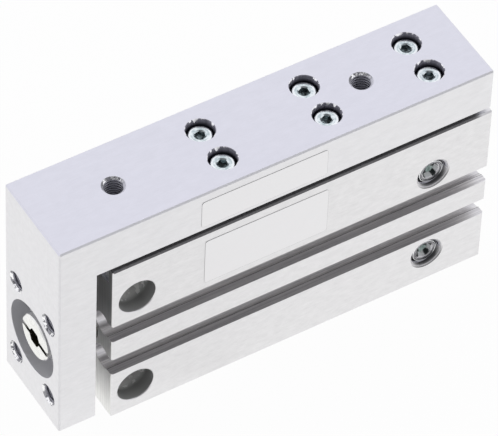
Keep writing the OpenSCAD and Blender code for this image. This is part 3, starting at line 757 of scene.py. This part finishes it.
def socket_rings(height, mouth, flats, depth, draft=1.0):
    """The rings of a hexagon socket: a cone at its mouth, six walls and a drilled bottom."""
    corner = flats / 2 / math.cos(TURN / 12)
    drill_point = 0.25 * flats
    return [
        (height, mouth),
        (height - (mouth - corner), hexagon(flats)),
        (height - depth, hexagon(flats * draft)),
        (height - depth - drill_point, 0),
    ]


# ---------------------------------------------------------------- patterns


class Pattern(Net):
    """A Geometry Nodes tree that places one made piece at each point, with named inputs."""

    def __init__(self, name, inputs):
        super().__init__(bpy.data.node_groups.new(name, "GeometryNodeTree"))
        face = self.tree.interface
        face.new_socket("Points", in_out="INPUT", socket_type="NodeSocketGeometry")
        for label, kind in inputs.items():
            face.new_socket(label, in_out="INPUT", socket_type="NodeSocket" + kind)
        face.new_socket("Pieces", in_out="OUTPUT", socket_type="NodeSocketGeometry")
        self.entry = self.tree.nodes.new("NodeGroupInput")
        self.exit = self.tree.nodes.new("NodeGroupOutput")

    def given(self, label):
        """One of the pattern's named inputs."""
        return Wire(self, self.entry.outputs[label])

    def finish(self, instances):
        """Ends the tree: real meshes with their finish."""
        real = self.node("GeometryNodeRealizeInstances", inputs={0: instances})
        dressed = self.node(
            "GeometryNodeSetMaterial", inputs={0: real, "Material": self.given("Finish")})
        self.feed(self.exit.inputs[0], dressed)

    def run(self, name, places, **values):
        """Runs the pattern on points and gives back one plain mesh."""
        points = bpy.data.meshes.new(name)
        points.from_pydata([tuple(p) for p in places], [], [])
        holder = bpy.data.objects.new(name + "_points", points)
        bpy.context.scene.collection.objects.link(holder)
        modifier = holder.modifiers.new("pattern", "NODES")
        modifier.node_group = self.tree
        keys = {item.name: item.identifier for item in self.tree.interface.items_tree}
        for label, value in values.items():
            modifier[keys[label]] = value
        bpy.context.view_layer.update()
        made = holder.evaluated_get(bpy.context.evaluated_depsgraph_get())
        mesh = bpy.data.meshes.new_from_object(made)
        holder.modifiers.remove(modifier)
        bpy.data.objects.remove(holder)
        shell = bmesh.new()
        shell.from_mesh(mesh)
        bpy.data.meshes.remove(mesh)
        return closed_mesh(name, shell)


SPIRAL_STEPS = 40  # in each turn of a ridge
# A ridge's corners, outward and along the bore, in pitches; the middle two are its crest.
RIDGE_SECTION = [(0.04, -0.44), (-0.54, -0.07), (-0.54, 0.07), (0.04, 0.44)]


def thread_pattern():
    """A helical ridge in each bore: a section with four corners, drawn along a spiral."""
    pattern = Pattern("thread_ridges", {
        "Radius": "Float", "Pitch": "Float", "Start": "Float", "Depth": "Float",
        "Turn": "Rotation", "Finish": "Material"})
    radius, pitch, depth = (pattern.given(label) for label in ("Radius", "Pitch", "Depth"))
    spiral = pattern.node("GeometryNodeCurveSpiral", inputs={
        "Resolution": SPIRAL_STEPS, "Rotations": depth / pitch,
        "Start Radius": radius, "End Radius": radius, "Height": depth})
    spiral = pattern.node("GeometryNodeSetCurveNormal", {"mode": "Z_UP"}, {0: spiral})
    drop = pattern.node("ShaderNodeCombineXYZ", inputs={2: 0 - (depth + pattern.given("Start"))})
    spiral = pattern.node("GeometryNodeTransform", inputs={0: spiral, "Translation": drop})
    corners = {
        "Point %d" % (i + 1): pattern.node(
            "ShaderNodeCombineXYZ", inputs={0: pitch * across, 1: pitch * along})
        for i, (across, along) in enumerate(RIDGE_SECTION)}
    section = pattern.node("GeometryNodeCurvePrimitiveQuadrilateral", {"mode": "POINTS"}, corners)
    crest = abs(pattern.node("GeometryNodeInputIndex") - 1.5) < 1
    section = pattern.node(
        "GeometryNodeStoreNamedAttribute", {"data_type": "FLOAT", "domain": "POINT"},
        {0: section, "Name": "crest", "Value": crest})
    ridge = pattern.node("GeometryNodeCurveToMesh", inputs={
        "Curve": spiral, "Profile Curve": section, "Fill Caps": True})
    pattern.finish(pattern.node("GeometryNodeInstanceOnPoints", inputs={
        "Points": pattern.given("Points"), "Instance": ridge, "Rotation": pattern.given("Turn")}))
    return pattern


def screw_pattern():
    """One made screw at each point, each stopped at its own angle."""
    pattern = Pattern("placed_screws", {
        "Screw": "Object", "Turn": "Rotation", "Seed": "Int", "Finish": "Material"})
    shape = pattern.node(
        "GeometryNodeObjectInfo", inputs={"Object": pattern.given("Screw")}, out="Geometry")
    placed = pattern.node("GeometryNodeInstanceOnPoints", inputs={
        "Points": pattern.given("Points"), "Instance": shape, "Rotation": pattern.given("Turn")})
    angle = pattern.node("FunctionNodeRandomValue", {"data_type": "FLOAT"}, {
        2: 0.0, 3: TURN / 6, "Seed": pattern.given("Seed")}, out=1)
    spin = pattern.node("ShaderNodeCombineXYZ", inputs={2: angle})
    pattern.finish(pattern.node("GeometryNodeRotateInstances", inputs={
        0: placed, "Rotation": spin, "Local Space": True}))
    return pattern


THREADS = thread_pattern()
SCREW_SET = screw_pattern()

UP = (0.0, 0.0, 0.0)
TO_FRONT = (RIGHT_ANGLE, 0.0, 0.0)
TO_BACK = (-RIGHT_ANGLE, 0.0, 0.0)
TO_YOKE_FACE = (0.0, -RIGHT_ANGLE, 0.0)
TO_REAR = (0.0, RIGHT_ANGLE, 0.0)


def threads(name, places, turn, diameter, pitch, start, depth, body):
    """Thread ridges in a set of bores."""
    mesh = THREADS.run(
        name, places, Radius=diameter / 2, Pitch=pitch, Start=start, Depth=depth,
        Turn=turn, Finish=FINISHES["cut_thread"])
    return keep(name, mesh, body, "cut_thread")


def screws(name, mesh, places, turn, seed, body, finish, replaced):
    """Screws made once and placed in a set of bores."""
    model = bpy.data.objects.new(name + "_model", mesh)
    placed = SCREW_SET.run(
        name, places, Screw=model, Turn=turn, Seed=seed, Finish=FINISHES[finish])
    bpy.data.objects.remove(model)
    return keep(name, placed, body, finish, replaced)


def rail_screw():
    """A socket-head cap screw with a knurled head; its origin is the middle of its face."""
    reach = SCREW_FACE - SCREWS[0][2]
    shank = SCREW_SHANK_D / 2
    head = SCREW_HEAD_D / 2
    chamfer = 0.2 * MM
    knurl = knurled(head, 0.09 * MM)
    knurl_bottom, knurl_top = 0.12 * MM - SCREW_HEAD_H, -0.40 * MM
    rim, rim_bottom = head - 0.02 * MM, -0.32 * MM
    rings = [
        (-reach, 0), (-reach, shank - chamfer), (-reach + chamfer, shank),
        (-SCREW_HEAD_H, shank), (-SCREW_HEAD_H, head - chamfer),
        (knurl_bottom, knurl), (knurl_top, knurl), (rim_bottom, rim),
    ]
    rings += rounded_rim(0, rim, 0.22 * MM)
    rings += socket_rings(0, 1.0 * MM, SCREW_HEX, SCREW_HEX_H)
    return turned("rail_screw", rings)


def port_plug():
    """A blanking screw with a stepped, dished face; its origin is the middle of its face."""
    reach = PLUGS[0][1][1] - PLUG_FACE
    chamfer = 0.35 * MM
    thread_top, head_bottom = -1.10 * MM, -0.85 * MM
    groove, groove_outer, groove_inner = -0.16 * MM, 1.84 * MM, 1.78 * MM
    boss, boss_outer, boss_inner = -0.04 * MM, 1.72 * MM, 1.66 * MM
    rings = [
        (-reach, 0), (-reach, PLUG_R - chamfer), (-reach + chamfer, PLUG_R),
        (thread_top, PLUG_R), (head_bottom, PLUG_HEAD_R),
    ]
    rings += rounded_rim(0, PLUG_HEAD_R, 0.10 * MM, steps=3)
    rings += [(groove, groove_outer), (groove, groove_inner), (boss, boss_outer)]
    rings += socket_rings(boss, boss_inner, PLUG_HEX, PLUG_HEX_H, draft=0.8)
    return turned("port_plug", rings)


def plate(name, left, top, width, height, body):
    """A blank film plate with rounded corners, stuck to the front face by its back."""
    corner, steps = 0.5 * MM, 6
    front, back = FRONT_Y - 0.05 * MM, FRONT_Y + 0.02 * MM
    x_span, z_span = (left, left + width), (top - height, top)
    outline = []
    for sx, sz in ((1, 1), (-1, 1), (-1, -1), (1, -1)):
        centre_x = x_span[(sx + 1) // 2] - sx * corner
        centre_z = z_span[(sz + 1) // 2] - sz * corner
        start = math.atan2(sz, sx) - TURN / 8
        for i in range(steps + 1):
            angle = start + RIGHT_ANGLE * i / steps
            x = centre_x + corner * math.cos(angle)
            z = centre_z + corner * math.sin(angle)
            outline.append((x, z))
    shell = bmesh.new()
    rows = [[shell.verts.new((x, y, z)) for x, z in outline] for y in (back, front)]
    for row in rows:
        shell.faces.new(row)
    for i in range(len(outline)):
        j = (i + 1) % len(outline)
        shell.faces.new((rows[0][i], rows[0][j], rows[1][j], rows[1][i]))
    # The band inside the outline carries the film's line of painted shade.
    rim = shell.verts.layers.float.new("rim")
    for vertex in shell.verts:
        vertex[rim] = 1
    face = min(shell.faces, key=lambda f: f.calc_center_median().y)
    for step in (0.05 * MM, 0.06 * MM):
        bmesh.ops.inset_region(shell, faces=[face], thickness=step)
    for vertex in face.verts:
        vertex[rim] = 0
    return keep(name, closed_mesh(name, shell), body, "film")


def arm_edges():
    """Strips that fill the bevel along both lower edges of the arm and leave those edges sharp."""
    corners = [vertex.co for vertex in frame["nodes"]["slide_plate"].data.vertices]
    arm = [corner for corner in corners if corner.x > SAWN_X]
    low = min(corner.z for corner in arm)
    bevel = min(corner.z for corner in arm if corner.y < FRONT_Y + HAIR) - low
    start = max(corner.x for corner in corners if corner.z < low - bevel)
    end = SLIDE[1][0] - bevel
    shell = bmesh.new()
    for edge_y, inward in ((FRONT_Y, bevel), (BACK_Y, -bevel)):
        section = [(edge_y, low), (edge_y + inward, low), (edge_y, low + bevel)]
        ends = [[shell.verts.new((x, y, z)) for y, z in section] for x in (start, end)]
        for cap in ends:
            shell.faces.new(cap)
        for i in range(3):
            j = (i + 1) % 3
            shell.faces.new((ends[0][i], ends[0][j], ends[1][j], ends[1][i]))
    return keep("arm_edges", closed_mesh("arm_edges", shell), "table", "slide")


# ---------------------------------------------------------------- studio

CAMERA_AZIMUTH = math.radians(-33.016)
CAMERA_ELEVATION = math.radians(48.22)
CAMERA_ROLL = math.radians(2.605)
CAMERA_DISTANCE = 0.7613
CAMERA_LENS = 368.98  # in millimetres, on a sensor of 36 mm
AIM = Vector((0.00007, 0.00028, 0.02094))
FORWARD = Vector((
    -math.sin(CAMERA_AZIMUTH) * math.cos(CAMERA_ELEVATION),
    math.cos(CAMERA_AZIMUTH) * math.cos(CAMERA_ELEVATION),
    -math.sin(CAMERA_ELEVATION),
))


def camera():
    """The camera, from its bearing, height, roll and distance."""
    data = bpy.data.cameras.new("camera")
    data.sensor_width = 36
    data.lens = CAMERA_LENS
    data.clip_end = 10
    holder = bpy.data.objects.new("camera", data)
    level = FORWARD.cross(Vector((0, 0, 1))).normalized()
    right = level * math.cos(CAMERA_ROLL) + level.cross(FORWARD) * math.sin(CAMERA_ROLL)
    matrix = Matrix((right, right.cross(FORWARD), -FORWARD)).transposed().to_4x4()
    matrix.translation = AIM - FORWARD * CAMERA_DISTANCE
    holder.matrix_world = matrix
    bpy.context.scene.collection.objects.link(holder)
    bpy.context.scene.camera = holder


def seen_directly(net):
    """One for rays from the camera and for mirror and glass rays, and nought for the rest."""
    rays = [net.node("ShaderNodeLightPath", out=ray)
            for ray in ("Is Camera Ray", "Is Glossy Ray", "Is Transmission Ray")]
    return rays[0] | rays[1] | rays[2]


def floor():
    """A pale floor that keeps a soft shadow."""
    half = 4.0
    whiteness = 0.97
    mesh = bpy.data.meshes.new("floor")
    corners = [(-half, -half, 0), (half, -half, 0), (half, half, 0), (-half, half, 0)]
    mesh.from_pydata(corners, [], [(0, 1, 2, 3)])
    ground = bpy.data.objects.new("floor", mesh)
    bpy.context.scene.collection.objects.link(ground)
    paint = Finish("floor_paint", (0.92, 0.92, 0.92), 0.0, 0.9)
    glow = paint.node("ShaderNodeEmission", inputs={"Color": (1, 1, 1), "Strength": 1.0})
    surface = paint.node("ShaderNodeMixShader", inputs={
        0: seen_directly(paint) * whiteness, 1: Wire(paint, paint.shader.outputs[0]), 2: glow})
    paint.feed(paint.tree.nodes["Material Output"].inputs["Surface"], surface)
    mesh.materials.append(paint.material)


def sky():
    """A bright studio dome with a dim patch around the camera."""
    world = bpy.data.worlds.new("studio")
    bpy.context.scene.world = world
    world.use_nodes = True
    net = Net(world.node_tree)
    direction = net.node("ShaderNodeTexCoord", out="Generated")
    bright, dim = (0.95, 0.95, 0.99), (0.20, 0.20, 0.21)
    patch_edge, patch_core = 0.55, 0.85  # cosines of the angle from the camera
    toward_camera = net.vectors("DOT_PRODUCT", direction, tuple(-FORWARD), out="Value")
    dome = net.blend(net.spread(toward_camera, patch_edge, patch_core), bright, dim)
    shown = net.blend(net.node("ShaderNodeLightPath", out="Is Camera Ray"), dome, (1, 1, 1))
    net.feed(world.node_tree.nodes["Background"].inputs["Color"], shown)


# ---------------------------------------------------------------- the slide table

camera()
floor()
sky()
bpy.context.scene.view_settings.view_transform = "Standard"

dress_nodes()
screws("rail_screw_set", rail_screw(), SCREW_SPOTS, UP, 3,
       "table", "screw_zinc", ["rail_screws"])
screws("port_plug_set", port_plug(), PLUG_SPOTS, TO_FRONT, 5,
       "base", "plug_zinc", ["port_plug_upper", "port_plug_lower"])
threads("arm_threads", ARM_THREADS, UP, M3, M3_PITCH, 0.5 * MM, 5 * MM, "table")
threads("yoke_threads", YOKE_THREADS, TO_YOKE_FACE, M3, M3_PITCH, 0.5 * MM, 5.4 * MM, "table")
threads("front_port_threads", FRONT_PORTS, TO_FRONT, M5, M5_PITCH, 0.45 * MM, 0.8 * MM, "base")
threads("rear_port_threads", REAR_PORTS, TO_REAR, M5, M5_PITCH, 0.6 * MM, 4 * MM, "base")
threads("back_threads", BACK_THREADS, TO_BACK, M4, M4_PITCH, 0.6 * MM, 5 * MM, "base")
arm_edges()
plate("housing_plate", SAWN_X + 15.6 * MM, HOUSING_TOP - 1.8 * MM, 21.2 * MM, 9.1 * MM, "base")
plate("arm_plate", YOKE_X + 23.7 * MM, TOP_Z - 1.7 * MM, 21.5 * MM, 5.4 * MM, "table")
